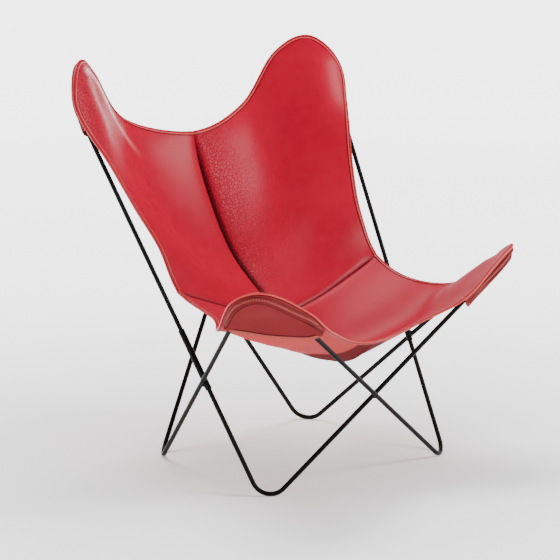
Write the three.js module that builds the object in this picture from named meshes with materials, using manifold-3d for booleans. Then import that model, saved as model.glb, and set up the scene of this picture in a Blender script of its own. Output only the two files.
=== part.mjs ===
// Butterfly sling chair: a knock-down frame of bent round bar that carries a sewn leather sling.
// Millimetres, +Z up, the sitter faces -Y, and left and right are those of someone looking at the front.
import * as THREE from 'three';
import { mergeVertices } from 'three/addons/utils/BufferGeometryUtils.js';
import Module from 'manifold-3d';

// Round bar of the frame
const ROD_DIAMETER = 10;
const FOOT_BEND = 40;
const FRONT_TIP_BEND = 60;
const BACK_TIP_BEND = 58;
const FOOT_FLAT_DEPTH = 0.6;
const CLEARANCE = 0.3;

// Corners where the straight runs of the bar would meet, on the right-hand side
const FRONT_FOOT_X = 263;
const FRONT_FOOT_Y = -306;
const BACK_TIP = new THREE.Vector3(391, 310, 969);
const FRONT_TIP = new THREE.Vector3(407, -435, 512);
// Way up the bar from the front foot's corner at which the side bars cross
const SIDE_CROSSING = 301;

// The tops of the back hoops curve forward, over this length below the top of the bend
const HOOP_LEAN = 25;
const HOOP_LEAN_LENGTH = 145;

// Tube sleeves that the hoops plug into
const SLEEVE_DIAMETER = 13.6;
const SLEEVE_LENGTH = 140;
const SLEEVE_FIT = 0.4;
const SIDE_SLEEVE_BELOW_CROSSING = 16;
const BACK_SLEEVE_ABOVE_CROSSING = 18;
const ROD_END_GAP = 1;
const WELD_DIAMETER = 15;

// Leather of the sling
const LEATHER = 3.6;
const POCKET_LEATHER = 2.6;
const BINDING_WIDTH = 9;
const BINDING_THICKNESS = 1.4;
const SEAM_GAP = 0.5;
const LEATHER_GAP = 0.9;
const SEWN_GAP = 0.4;
const POCKET_MOUTH_SAG = 22;
const POCKET_SLACK = 1.4;
// How far down its wing a pocket is sewn on, along the inner and the outer edge
const BACK_POCKET_INNER_REACH = 290;
const BACK_POCKET_OUTER_REACH = 262;
const FRONT_POCKET_INNER_REACH = 213;
const FRONT_POCKET_OUTER_REACH = 162;

// Right-hand half of the sling's edge, from the middle of its top round to the middle of its front.
// Points beside a wing's bar are [out from the leg, down from the bar's corner, forward of the leather],
// and those beside the inner leg have a minus. A wing's tip is [across, up from the top of the bend].
const TOP_MIDDLE = [0, 247, 684];
const TOP_EDGE = [168, 276, 728];
const BACK_WING_INNER = [[-22.5, 172, 8]];
const BACK_WING_TIP = [8, 25];
const BACK_WING_OUTER = [[29.5, 186, 0], [19, 287, 0]];
const SIDE_EDGE = [[323, 66, 588], [295, 9, 496], [290, -52, 406], [290, -165, 369]];
const FRONT_WING_OUTER = [[11.5, 217, 14], [18.5, 95, 0]];
const FRONT_WING_TIP = [-11, 29];
const FRONT_WING_INNER = [[-30, 147, 0], [-35, 214, 0]];
const FRONT_EDGE = [81, -365, 322];
const FRONT_MIDDLE = [0, -356, 307];
// Seams of the four panels: they meet at the low point of the back
const SEAM_MEETING = [0, -60, 313];
const CENTRE_SEAM_BACK = [[0, 30, 367], [0, 115, 437], [0, 190, 555]];
const CENTRE_SEAM_SEAT = [[0, -130, 264], [0, -205, 243], [0, -280, 256]];
const CROSS_SEAM = [[100, -58, 336], [195, -56, 370]];

// Fineness of the facets
const ROD_SIDES = 12;
const BEND_STEPS = 9;
const LEAN_STEPS = 6;
const SLEEVE_SIDES = 20;
const PANEL_STEPS_ACROSS = 12;
const PANEL_STEPS_ALONG = 16;
// Rings of a pocket: share of the way from its mouth to its rim, and of its depth behind the bar
const POCKET_RINGS = [[1, 0], [0.975, 0.5], [0.93, 1], [0.82, 1], [0.66, 1], [0.46, 1], [0.24, 1]];

const STEEL = { color: 0x141414, roughness: 0.45, metalness: 0.6 };
const RED_LEATHER = { color: 0xb81f28, roughness: 0.5, metalness: 0 };
const DARK_RED_LEATHER = { color: 0x9b3837, roughness: 0.6, metalness: 0 };

const wasm = await Module();
wasm.setup();

const chair = new THREE.Group();
const rodRadius = ROD_DIAMETER / 2;
const toVector = (p) => new THREE.Vector3(p[0], p[1], p[2]);
const mirrored = (p) => new THREE.Vector3(-p.x, p.y, p.z);

function addPiece(name, geometry, look) {
  const mesh = new THREE.Mesh(geometry, new THREE.MeshStandardMaterial(look));
  mesh.name = name;
  chair.add(mesh);
  return mesh;
}

// Solids joined and cut

function toSolid(geometry) {
  const bare = geometry.clone();
  bare.deleteAttribute('normal');
  bare.deleteAttribute('uv');
  const merged = mergeVertices(bare, 1e-4);
  return new wasm.Manifold(new wasm.Mesh({
    numProp: 3,
    vertProperties: new Float32Array(merged.attributes.position.array),
    triVerts: new Uint32Array(merged.index.array),
  }));
}

function toGeometry(solid) {
  const mesh = solid.getMesh();
  const geometry = new THREE.BufferGeometry();
  geometry.setAttribute('position', new THREE.BufferAttribute(new Float32Array(mesh.vertProperties), 3));
  geometry.setIndex(new THREE.BufferAttribute(new Uint32Array(mesh.triVerts), 1));
  geometry.computeVertexNormals();
  return geometry;
}

// Bars along a path

// A path whose steps are its own points, so that straight runs stay one step long
class PointPath extends THREE.Curve {
  constructor(points) {
    super();
    this.points = points;
  }

  getPoint(t, target = new THREE.Vector3()) {
    const place = THREE.MathUtils.clamp(t, 0, 1) * (this.points.length - 1);
    const i = Math.min(Math.floor(place), this.points.length - 2);
    return target.lerpVectors(this.points[i], this.points[i + 1], place - i);
  }

  getUtoTmapping(u) {
    return u;
  }
}

function bar(points, radius) {
  const section = new THREE.Shape().absarc(0, 0, radius, 0, 2 * Math.PI);
  return new THREE.ExtrudeGeometry(section, {
    steps: points.length - 1,
    curveSegments: ROD_SIDES / 2,
    bevelEnabled: false,
    extrudePath: new PointPath(points),
  });
}

// The bend at a corner between two straight runs: its plane, its opening and its arc
function bendAt(corner, first, second, radius) {
  const toFirst = first.clone().sub(corner).normalize();
  const toSecond = second.clone().sub(corner).normalize();
  const inward = toFirst.clone().add(toSecond).normalize();
  const across = toFirst.clone().sub(toSecond).normalize();
  const half = Math.acos(toFirst.dot(inward));
  const centre = corner.clone().addScaledVector(inward, radius / Math.sin(half));
  return { corner, inward, across, half, radius, centre, top: radius / Math.sin(half) - radius };
}

function bendPoints(bend) {
  const sweep = Math.PI / 2 - bend.half;
  const points = [];
  for (let i = 0; i <= BEND_STEPS; i += 1) {
    const angle = sweep * (1 - 2 * i / BEND_STEPS);
    points.push(bend.centre.clone()
      .addScaledVector(bend.inward, -bend.radius * Math.cos(angle))
      .addScaledVector(bend.across, bend.radius * Math.sin(angle)));
  }
  return points;
}

// A foot's corner is moved this many times until it lies where it should
const FOOT_PASSES = 6;

// Height of a foot's corner that puts the flat under its bend on the floor
function footCornerHeight(x, y, first, second) {
  const corner = new THREE.Vector3(x, y, 0);
  for (let i = 0; i < FOOT_PASSES; i += 1) {
    const bend = bendAt(corner, first, second, FOOT_BEND);
    const lowest = bend.centre.z - FOOT_BEND * Math.hypot(bend.inward.z, bend.across.z);
    corner.z += rodRadius - FOOT_FLAT_DEPTH - lowest;
  }
  return corner.z;
}

// Frame corners on the right; the left ones are their mirror images
const frontFoot = new THREE.Vector3(FRONT_FOOT_X, FRONT_FOOT_Y, 0);
frontFoot.z = footCornerHeight(frontFoot.x, frontFoot.y, BACK_TIP, mirrored(FRONT_TIP));

// Each loop stands half a bar off the middle, so that the bars touch where they cross at the front
const frontRun = mirrored(FRONT_TIP).sub(frontFoot);
const loopShift = (ROD_DIAMETER + CLEARANCE) / 2 * Math.hypot(frontRun.y, frontRun.z) / frontRun.z;

// A back foot lies where the run from the front tip passes outside the sleeve at the side crossing
const sideRun = BACK_TIP.clone().sub(frontFoot).normalize();
const sideNormal = FRONT_TIP.clone().sub(frontFoot).cross(sideRun).normalize();
const sideGap = (ROD_DIAMETER + SLEEVE_DIAMETER) / 2 + CLEARANCE + 2 * loopShift * Math.abs(sideNormal.y);
const crossingOutside = frontFoot.clone()
  .addScaledVector(sideRun, SIDE_CROSSING)
  .addScaledVector(sideNormal, Math.sign(sideNormal.x) * sideGap);
const backFoot = new THREE.Vector3();
let backFootHeight = frontFoot.z;
for (let i = 0; i < FOOT_PASSES; i += 1) {
  const share = (backFootHeight - FRONT_TIP.z) / (crossingOutside.z - FRONT_TIP.z);
  backFoot.lerpVectors(FRONT_TIP, crossingOutside, share);
  backFootHeight = footCornerHeight(backFoot.x, backFoot.y, mirrored(BACK_TIP), FRONT_TIP);
}

// One loop of bar: left hoop, front left foot, front right tip and back right foot, or its mirror image
function makeLoop(side) {
  const isLeft = side === 'left';
  const shift = new THREE.Vector3(0, isLeft ? loopShift : -loopShift, 0);
  const place = (p, onLeft) => (onLeft === isLeft ? mirrored(p) : p.clone()).add(shift);
  const hoopCorner = place(BACK_TIP, true);
  const nearFoot = place(frontFoot, true);
  const tipCorner = place(FRONT_TIP, false);
  const farFoot = place(backFoot, false);
  return {
    hoop: bendAt(hoopCorner, nearFoot, farFoot, BACK_TIP_BEND),
    nearFoot: bendAt(nearFoot, hoopCorner, tipCorner, FOOT_BEND),
    tip: bendAt(tipCorner, nearFoot, farFoot, FRONT_TIP_BEND),
    farFoot: bendAt(farFoot, tipCorner, hoopCorner, FOOT_BEND),
  };
}

const loops = { left: makeLoop('left'), right: makeLoop('right') };

// How far forward of its straight plane a hoop lies, at a distance down from its corner
function hoopLean(hoop, down) {
  const above = Math.max(0, hoop.top + HOOP_LEAN_LENGTH - down);
  return HOOP_LEAN * (above / HOOP_LEAN_LENGTH) ** 2;
}

// Direction square to a tip's plane, towards the middle of the chair
function forward(tip) {
  const normal = tip.across.clone().cross(tip.inward).normalize();
  return normal.x * tip.corner.x > 0 ? normal.negate() : normal;
}

// Nearest points of two straight runs
function crossing(a, b) {
  const u = a[1].clone().sub(a[0]);
  const v = b[1].clone().sub(b[0]);
  const w = a[0].clone().sub(b[0]);
  const uv = u.dot(v);
  const scale = u.dot(u) * v.dot(v) - uv * uv;
  const onA = a[0].clone().addScaledVector(u, (uv * v.dot(w) - v.dot(v) * u.dot(w)) / scale);
  const onB = b[0].clone().addScaledVector(v, (u.dot(u) * v.dot(w) - uv * u.dot(w)) / scale);
  return { onA, onB, alongA: u.normalize(), alongB: v.normalize() };
}

const run = (from, to) => [from.corner, to.corner];
const crossings = {
  front: crossing(run(loops.left.nearFoot, loops.left.tip), run(loops.right.nearFoot, loops.right.tip)),
  back: crossing(run(loops.left.farFoot, loops.left.hoop), run(loops.right.farFoot, loops.right.hoop)),
  left: crossing(run(loops.left.nearFoot, loops.left.hoop), run(loops.right.farFoot, loops.right.tip)),
  right: crossing(run(loops.right.nearFoot, loops.right.hoop), run(loops.left.farFoot, loops.left.tip)),
};

// Sleeves: where each starts and which way it points up its bar
function sleeveOn(start, along, offset) {
  const foot = start.clone().addScaledVector(along, offset);
  return { foot, along, middle: foot.clone().addScaledVector(along, SLEEVE_LENGTH / 2) };
}

const sleeves = {
  left: {
    side: sleeveOn(crossings.left.onA, crossings.left.alongA, -SIDE_SLEEVE_BELOW_CROSSING),
    back: sleeveOn(crossings.back.onA, crossings.back.alongA, BACK_SLEEVE_ABOVE_CROSSING),
  },
  right: {
    side: sleeveOn(crossings.right.onA, crossings.right.alongA, -SIDE_SLEEVE_BELOW_CROSSING),
    back: sleeveOn(crossings.back.onB, crossings.back.alongB, BACK_SLEEVE_ABOVE_CROSSING),
  },
};

function sleeveGeometry() {
  const tube = new THREE.Shape().absarc(0, 0, SLEEVE_DIAMETER / 2, 0, 2 * Math.PI);
  tube.holes.push(new THREE.Path().absarc(0, 0, rodRadius + SLEEVE_FIT, 0, 2 * Math.PI));
  return new THREE.ExtrudeGeometry(tube, {
    depth: SLEEVE_LENGTH,
    curveSegments: SLEEVE_SIDES / 2,
    bevelEnabled: false,
  });
}

const UP = new THREE.Vector3(0, 0, 1);

function aim(mesh, place, along) {
  mesh.position.copy(place);
  mesh.quaternion.setFromUnitVectors(UP, along);
  return mesh;
}

// End of a bar inside its sleeve, above or below the sleeve's middle
function sleeveEnd(sleeve, sign) {
  return sleeve.middle.clone().addScaledVector(sleeve.along, sign * ROD_END_GAP / 2);
}

// Flat faces under the two feet of a base bar, cut by a block larger than the chair
function cutFeet(geometry) {
  geometry.computeBoundingSphere();
  const reach = 4 * geometry.boundingSphere.radius;
  const ground = new THREE.BoxGeometry(reach, reach, reach);
  ground.translate(0, 0, -reach / 2);
  return toGeometry(toSolid(geometry).subtract(toSolid(ground)));
}

function hoopPoints(loop, pair) {
  const { hoop } = loop;
  const ahead = forward(hoop);
  const bend = bendPoints(hoop);
  const leanFrom = (end) => {
    const leg = end.clone().sub(hoop.corner).normalize();
    const reach = (hoop.top + HOOP_LEAN_LENGTH) / leg.dot(hoop.inward);
    return hoop.corner.clone().addScaledVector(leg, reach);
  };
  const shares = Array.from({ length: LEAN_STEPS }, (_, i) => i / LEAN_STEPS);
  const rise = (from, to) => shares.map((share) => from.clone().lerp(to, share));
  const last = bend.length - 1;
  const sideEnd = sleeveEnd(pair.side, 1);
  const backEnd = sleeveEnd(pair.back, 1);
  const points = [
    sideEnd,
    ...rise(leanFrom(sideEnd), bend[0]),
    ...bend,
    ...rise(leanFrom(backEnd), bend[last]).reverse(),
    backEnd,
  ];
  return points.map((p) => {
    const down = p.clone().sub(hoop.corner).dot(hoop.inward);
    return p.clone().addScaledVector(ahead, hoopLean(hoop, down));
  });
}

for (const side of ['left', 'right']) {
  const loop = loops[side];
  const pair = sleeves[side];
  const basePath = [
    sleeveEnd(pair.side, -1),
    ...bendPoints(loop.nearFoot),
    ...bendPoints(loop.tip),
    ...bendPoints(loop.farFoot),
    sleeveEnd(pair.back, -1),
  ];
  addPiece(`base_bar_${side}`, cutFeet(bar(basePath, rodRadius)), STEEL);
  addPiece(`back_hoop_${side}`, bar(hoopPoints(loop, pair), rodRadius), STEEL);
  aim(addPiece(`side_sleeve_${side}`, sleeveGeometry(), STEEL), pair.side.foot, pair.side.along);
  aim(addPiece(`back_sleeve_${side}`, sleeveGeometry(), STEEL), pair.back.foot, pair.back.along);
}

// Weld collars that fill the space round each crossing
function weld(at, radiusA, radiusB) {
  const axis = at.onB.clone().sub(at.onA);
  const gap = axis.length();
  axis.normalize();
  const collar = new THREE.CylinderGeometry(WELD_DIAMETER / 2, WELD_DIAMETER / 2, gap, SLEEVE_SIDES);
  const turn = new THREE.Quaternion().setFromUnitVectors(new THREE.Vector3(0, 1, 0), axis);
  collar.applyQuaternion(turn);
  const middle = at.onA.clone().lerp(at.onB, 0.5);
  collar.translate(middle.x, middle.y, middle.z);
  const reach = WELD_DIAMETER;
  const barAlong = (point, along, radius) => toSolid(bar([
    point.clone().addScaledVector(along, -reach),
    point.clone().addScaledVector(along, reach),
  ], radius + CLEARANCE));
  const solid = toSolid(collar)
    .subtract(barAlong(at.onA, at.alongA, radiusA))
    .subtract(barAlong(at.onB, at.alongB, radiusB));
  return toGeometry(solid);
}

const sleeveRadius = SLEEVE_DIAMETER / 2;
addPiece('weld_front', weld(crossings.front, rodRadius, rodRadius), STEEL);
addPiece('weld_back', weld(crossings.back, rodRadius, rodRadius), STEEL);
addPiece('weld_left', weld(crossings.left, sleeveRadius, rodRadius), STEEL);
addPiece('weld_right', weld(crossings.right, sleeveRadius, rodRadius), STEEL);

// Sling, worked out for the right-hand half

// The sling is symmetric, so it follows tips that stand without the loops' shift
const backTip = bendAt(BACK_TIP, frontFoot, mirrored(backFoot), BACK_TIP_BEND);
const frontTip = bendAt(FRONT_TIP, backFoot, mirrored(frontFoot), FRONT_TIP_BEND);
backTip.ahead = forward(backTip);
frontTip.ahead = forward(frontTip);
backTip.lean = (down) => hoopLean(backTip, down);
frontTip.lean = () => 0;

// Leather lies this far forward of a bar's centre line, past the shift of the loops
for (const tip of [backTip, frontTip]) {
  tip.shift = loopShift * Math.abs(tip.ahead.y);
  tip.leather = rodRadius + tip.shift + LEATHER_GAP + LEATHER / 2;
}

function wingPoint(tip, across, down, ahead) {
  return tip.corner.clone()
    .addScaledVector(tip.across, across)
    .addScaledVector(tip.inward, down)
    .addScaledVector(tip.ahead, tip.lean(down) + ahead);
}

function besideLeg(tip, [out, down, ahead]) {
  const leg = Math.sign(out) * down * Math.tan(tip.half);
  return wingPoint(tip, leg + out, down, tip.leather + ahead);
}

function aboveBend(tip, [across, up]) {
  return wingPoint(tip, across, tip.top - up, tip.leather);
}

function wingPlace(tip, point) {
  const offset = point.clone().sub(tip.corner);
  const down = offset.dot(tip.inward);
  return { across: offset.dot(tip.across), down, ahead: offset.dot(tip.ahead) - tip.lean(down) };
}

// Smooth curve through points, with straight or mirrored ends
function curveThrough(points, before, after) {
  const all = [before, ...points, after];
  return (place) => {
    const i = THREE.MathUtils.clamp(Math.floor(place), 0, points.length - 2);
    const t = place - i;
    const [p0, p1, p2, p3] = all.slice(i, i + 4);
    return new THREE.Vector3()
      .addScaledVector(p0, (-t + 2 * t * t - t * t * t) / 2)
      .addScaledVector(p1, (2 - 5 * t * t + 3 * t * t * t) / 2)
      .addScaledVector(p2, (t + 4 * t * t - 3 * t * t * t) / 2)
      .addScaledVector(p3, (-t * t + t * t * t) / 2);
  };
}

const beyond = (end, next) => end.clone().multiplyScalar(2).sub(next);

function seamCurve(points) {
  const list = points.map(toVector);
  const curve = curveThrough(list, beyond(list[0], list[1]), beyond(list.at(-1), list.at(-2)));
  return (t) => curve(t * (list.length - 1));
}

const edgePoints = [
  toVector(TOP_MIDDLE),
  toVector(TOP_EDGE),
  ...BACK_WING_INNER.map((p) => besideLeg(backTip, p)),
  aboveBend(backTip, BACK_WING_TIP),
  ...BACK_WING_OUTER.map((p) => besideLeg(backTip, p)),
  ...SIDE_EDGE.map(toVector),
  ...FRONT_WING_OUTER.map((p) => besideLeg(frontTip, p)),
  aboveBend(frontTip, FRONT_WING_TIP),
  ...FRONT_WING_INNER.map((p) => besideLeg(frontTip, p)),
  toVector(FRONT_EDGE),
  toVector(FRONT_MIDDLE),
];
const edge = curveThrough(edgePoints, mirrored(edgePoints[1]), mirrored(edgePoints.at(-2)));
// Places along the edge at which the panels' corners lie
const BACK_TIP_PLACE = 3;
const CROSS_SEAM_PLACE = 8;
const FRONT_TIP_PLACE = 12;
const LAST_PLACE = edgePoints.length - 1;

const crossSeam = seamCurve([SEAM_MEETING, ...CROSS_SEAM, SIDE_EDGE[2]]);
const centreBack = seamCurve([SEAM_MEETING, ...CENTRE_SEAM_BACK, TOP_MIDDLE]);
const centreSeat = seamCurve([SEAM_MEETING, ...CENTRE_SEAM_SEAT, FRONT_MIDDLE]);

// Leather that would touch a bar is eased forward of it
function easeForward(tip, point) {
  const softness = 8;
  const { ahead } = wingPlace(tip, point);
  const over = ahead - tip.leather;
  if (over >= softness) return point;
  const eased = over > -softness ? (over + softness) ** 2 / (4 * softness) : 0;
  return point.addScaledVector(tip.ahead, eased - over);
}

// A panel is a four-sided patch between its two seams and its two outer edges
function panelSurface(tip, centre, outer, sideEdge) {
  const low = crossSeam(0);
  const lowSide = crossSeam(1);
  const highCentre = centre(1);
  const corner = outer(1);
  return (u, v) => easeForward(tip, new THREE.Vector3()
    .addScaledVector(crossSeam(u), 1 - v)
    .addScaledVector(outer(u), v)
    .addScaledVector(centre(v), 1 - u)
    .addScaledVector(sideEdge(v), u)
    .addScaledVector(low, -(1 - u) * (1 - v))
    .addScaledVector(lowSide, -u * (1 - v))
    .addScaledVector(highCentre, -(1 - u) * v)
    .addScaledVector(corner, -u * v));
}

const surfaces = {
  back: panelSurface(
    backTip,
    centreBack,
    (u) => edge(BACK_TIP_PLACE * u),
    (v) => edge(CROSS_SEAM_PLACE + (BACK_TIP_PLACE - CROSS_SEAM_PLACE) * v),
  ),
  seat: panelSurface(
    frontTip,
    centreSeat,
    (u) => edge(LAST_PLACE + (FRONT_TIP_PLACE - LAST_PLACE) * u),
    (v) => edge(CROSS_SEAM_PLACE + (FRONT_TIP_PLACE - CROSS_SEAM_PLACE) * v),
  ),
};

function vertexNormals(points, triangles) {
  const normals = points.map(() => new THREE.Vector3());
  for (const [a, b, c] of triangles) {
    const ab = points[b].clone().sub(points[a]);
    const face = ab.cross(points[c].clone().sub(points[a]));
    for (const i of [a, b, c]) normals[i].add(face);
  }
  return normals.map((n) => n.normalize());
}

// Grid of points over a panel; u runs from the centre seam out and v from the cross seam to the outer edge
function panelGrid(surface, faceUp) {
  const columns = PANEL_STEPS_ACROSS + 1;
  const points = [];
  const triangles = [];
  for (let j = 0; j <= PANEL_STEPS_ALONG; j += 1) {
    for (let i = 0; i <= PANEL_STEPS_ACROSS; i += 1) {
      points.push(surface(i / PANEL_STEPS_ACROSS, j / PANEL_STEPS_ALONG));
    }
  }
  for (let j = 0; j < PANEL_STEPS_ALONG; j += 1) {
    for (let i = 0; i < PANEL_STEPS_ACROSS; i += 1) {
      const a = j * columns + i;
      const b = a + 1;
      const c = a + columns;
      const d = c + 1;
      triangles.push(faceUp ? [a, b, d] : [a, d, b], faceUp ? [a, d, c] : [a, c, d]);
    }
  }
  return { points, triangles, columns, normals: vertexNormals(points, triangles) };
}

// A closed sheet: both faces of a triangulated surface and a wall along its border
function sheet(points, triangles, normals, bottom, top, flip) {
  const count = points.length;
  const place = (p, n, height) => {
    const q = p.clone().addScaledVector(n, height);
    q.x = Math.max(q.x, SEAM_GAP / 2);
    return flip ? mirrored(q) : q;
  };
  const corners = [
    ...points.map((p, i) => place(p, normals[i], top)),
    ...points.map((p, i) => place(p, normals[i], bottom)),
  ];
  const faces = [];
  const edges = new Map();
  for (const [a, b, c] of triangles) {
    faces.push([a, b, c], [c + count, b + count, a + count]);
    for (const [from, to] of [[a, b], [b, c], [c, a]]) {
      if (!edges.delete(`${to} ${from}`)) edges.set(`${from} ${to}`, [from, to]);
    }
  }
  for (const [from, to] of edges.values()) {
    faces.push([from + count, to + count, to], [from + count, to, from]);
  }
  const geometry = new THREE.BufferGeometry();
  const coordinates = corners.flatMap((p) => [p.x, p.y, p.z]);
  geometry.setAttribute('position', new THREE.Float32BufferAttribute(coordinates, 3));
  geometry.setIndex(faces.flatMap(([a, b, c]) => (flip ? [a, c, b] : [a, b, c])));
  geometry.computeVertexNormals();
  return geometry;
}

const grids = {
  back: panelGrid(surfaces.back, true),
  seat: panelGrid(surfaces.seat, false),
};

// Along the cross seam both panels end on one shared wall, half a gap apart
for (let i = 0; i < grids.back.columns; i += 1) {
  const shared = grids.back.normals[i].clone().add(grids.seat.normals[i]).normalize();
  for (const grid of [grids.back, grids.seat]) {
    const away = grid.points[i + grid.columns].clone().sub(grid.points[i]).normalize();
    grid.points[i].addScaledVector(away, SEAM_GAP / 2);
    grid.normals[i].copy(shared);
  }
}

// Outer border of a panel from the centre seam over the tip to the cross seam, as grid places
function outerBorder(grid) {
  const topRow = PANEL_STEPS_ALONG * grid.columns;
  const border = [];
  for (let i = 0; i < PANEL_STEPS_ACROSS; i += 1) border.push(topRow + i);
  for (let j = PANEL_STEPS_ALONG; j >= 0; j -= 1) border.push(j * grid.columns + PANEL_STEPS_ACROSS);
  return border;
}

// Border points with the directions along the leather, towards the inside of the panel
function borderFrame(grid) {
  const border = outerBorder(grid);
  const last = border.length - 1;
  const middle = grid.points[Math.floor(grid.points.length / 2)];
  return border.map((index, k) => {
    const point = grid.points[index];
    const normal = grid.normals[index];
    const next = grid.points[border[Math.min(k + 1, last)]];
    const before = grid.points[border[Math.max(k - 1, 0)]];
    const along = next.clone().sub(before);
    const inside = normal.clone().cross(along).normalize();
    const inner = k === 0 ? grid.points[index - grid.columns] : grid.points[index - 1];
    if (k === 0 || k === last) inside.copy(inner).sub(point).normalize();
    else if (inside.dot(middle.clone().sub(point)) < 0) inside.negate();
    return { point, normal, inside };
  });
}

// Binding: a strip of leather laid along the edge on the sitter's face
function bindingGeometry(frame, faceUp, flip) {
  const points = [];
  const normals = [];
  const triangles = [];
  for (const { point, normal, inside } of frame) {
    points.push(point.clone(), point.clone().addScaledVector(inside, BINDING_WIDTH));
    normals.push(normal, normal);
  }
  for (let k = 0; k + 1 < frame.length; k += 1) {
    const [a, b, c, d] = [2 * k, 2 * k + 1, 2 * k + 2, 2 * k + 3];
    triangles.push(faceUp ? [a, b, d] : [a, d, b], faceUp ? [a, d, c] : [a, c, d]);
  }
  const bottom = LEATHER / 2 + LEATHER_GAP;
  return sheet(points, triangles, normals, bottom, bottom + BINDING_THICKNESS, flip);
}

// Pocket: a half-moon behind a wing, sewn along its edge, that passes behind the bar and is open below
function pocketGeometry(tip, frame, flip) {
  const behind = -(rodRadius + tip.shift + POCKET_SLACK + POCKET_LEATHER / 2);
  const rimDrop = -(LEATHER / 2 + SEWN_GAP + POCKET_LEATHER / 2);
  const ends = [frame[0], frame.at(-1)].map(({ point }) => wingPlace(tip, point));
  const mouthAcross = (ends[0].across + ends[1].across) / 2;
  const mouthDown = (ends[0].down + ends[1].down) / 2 + POCKET_MOUTH_SAG;
  const points = [wingPoint(tip, mouthAcross, mouthDown, behind)];
  for (const [share, depth] of POCKET_RINGS) {
    for (const { point, normal } of frame) {
      const rim = wingPlace(tip, point.clone().addScaledVector(normal, rimDrop));
      const across = THREE.MathUtils.lerp(mouthAcross, rim.across, share);
      const down = THREE.MathUtils.lerp(mouthDown, rim.down, share);
      points.push(wingPoint(tip, across, down, THREE.MathUtils.lerp(rim.ahead, behind, depth)));
    }
  }
  const columns = frame.length;
  const at = (ring, k) => 1 + ring * columns + k;
  const triangles = [];
  for (let k = 0; k + 1 < columns; k += 1) {
    for (let ring = 0; ring + 1 < POCKET_RINGS.length; ring += 1) {
      triangles.push([at(ring, k), at(ring, k + 1), at(ring + 1, k + 1)]);
      triangles.push([at(ring, k), at(ring + 1, k + 1), at(ring + 1, k)]);
    }
    triangles.push([at(POCKET_RINGS.length - 1, k), at(POCKET_RINGS.length - 1, k + 1), 0]);
  }
  const normals = vertexNormals(points, triangles);
  if (normals[0].dot(tip.ahead) < 0) {
    for (const triangle of triangles) triangle.reverse();
    for (const normal of normals) normal.negate();
  }
  // The rim lies flat on the back of the panel
  frame.forEach(({ normal }, k) => normals[at(0, k)].copy(normal));
  return sheet(points, triangles, normals, -POCKET_LEATHER / 2, POCKET_LEATHER / 2, flip);
}

// Border stretch that a pocket is sewn to, as far down the wing's two edges as it reaches
function pocketFrame(tip, frame, [innerReach, outerReach]) {
  return frame.filter(({ point }) => {
    const { across, down } = wingPlace(tip, point);
    return down < (across < 0 ? innerReach : outerReach);
  });
}

const wings = [
  { name: 'back', tip: backTip, reach: [BACK_POCKET_INNER_REACH, BACK_POCKET_OUTER_REACH] },
  { name: 'seat', tip: frontTip, reach: [FRONT_POCKET_INNER_REACH, FRONT_POCKET_OUTER_REACH] },
];

for (const side of ['left', 'right']) {
  const flip = side === 'left';
  const half = LEATHER / 2;
  for (const { name, tip, reach } of wings) {
    const grid = grids[name];
    const frame = borderFrame(grid);
    const panel = sheet(grid.points, grid.triangles, grid.normals, -half, half, flip);
    addPiece(`${name}_panel_${side}`, panel, RED_LEATHER);
    addPiece(`${name}_binding_${side}`, bindingGeometry(frame, name === 'back', flip), RED_LEATHER);
    const pocket = pocketGeometry(tip, pocketFrame(tip, frame, reach), flip);
    addPiece(`${name}_pocket_${side}`, pocket, DARK_RED_LEATHER);
  }
}

// Origin on the floor, under the middle of the chair's outline
const middle = new THREE.Box3().setFromObject(chair).getCenter(new THREE.Vector3());
for (const piece of chair.children) {
  piece.position.x -= middle.x;
  piece.position.y -= middle.y;
}

export default chair;
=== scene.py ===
"""Butterfly sling chair: a bent black bar frame and a red leather sling that hangs from its four tips."""
import math

import bpy
import numpy as np
from mathutils import Matrix, Vector, noise


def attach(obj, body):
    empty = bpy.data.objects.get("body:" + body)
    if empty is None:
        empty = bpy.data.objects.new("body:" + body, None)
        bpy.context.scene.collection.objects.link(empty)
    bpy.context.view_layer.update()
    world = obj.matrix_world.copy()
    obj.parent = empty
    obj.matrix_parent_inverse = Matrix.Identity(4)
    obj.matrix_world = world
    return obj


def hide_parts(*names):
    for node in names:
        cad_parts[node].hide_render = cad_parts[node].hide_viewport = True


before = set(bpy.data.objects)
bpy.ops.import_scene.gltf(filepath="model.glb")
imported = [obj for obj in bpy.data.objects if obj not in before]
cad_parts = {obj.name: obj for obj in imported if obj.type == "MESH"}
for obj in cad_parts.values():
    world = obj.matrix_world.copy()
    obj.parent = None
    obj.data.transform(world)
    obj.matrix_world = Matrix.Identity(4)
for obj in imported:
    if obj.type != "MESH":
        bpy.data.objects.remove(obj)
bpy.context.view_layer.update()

# Sizes in millimetres, the same as the solids'
ROD = 10.0
FOOT_BEND = 40.0
FRONT_TIP_BEND = 60.0
BACK_TIP_BEND = 58.0
FOOT_FLAT_DEPTH = 0.6
CLEARANCE = 0.3
FRONT_FOOT = (263.0, -306.0)
BACK_TIP = np.array((391.0, 310.0, 969.0))
FRONT_TIP = np.array((407.0, -435.0, 512.0))
SIDE_CROSSING = 301.0
HOOP_LEAN = 25.0
HOOP_LEAN_LENGTH = 145.0
SLEEVE_DIAMETER = 13.6
SLEEVE_LENGTH = 140.0
SIDE_SLEEVE_BELOW_CROSSING = 16.0
BACK_SLEEVE_ABOVE_CROSSING = 18.0
SLEEVE_LIP = 0.4
SLEEVE_ROUNDING = 0.7
SLEEVE_HOLLOW = 12.0
PLUG_GAP = 0.5
WELD_HALF_DEPTH = 4.2
WELD_REACH = {"front": 7.4, "back": 7.4, "left": 8.2, "right": 8.2}
FOOT_BEND_STEPS = 28
TIP_BEND_STEPS = 32
ORIGIN_SHIFT = 68.135

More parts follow.
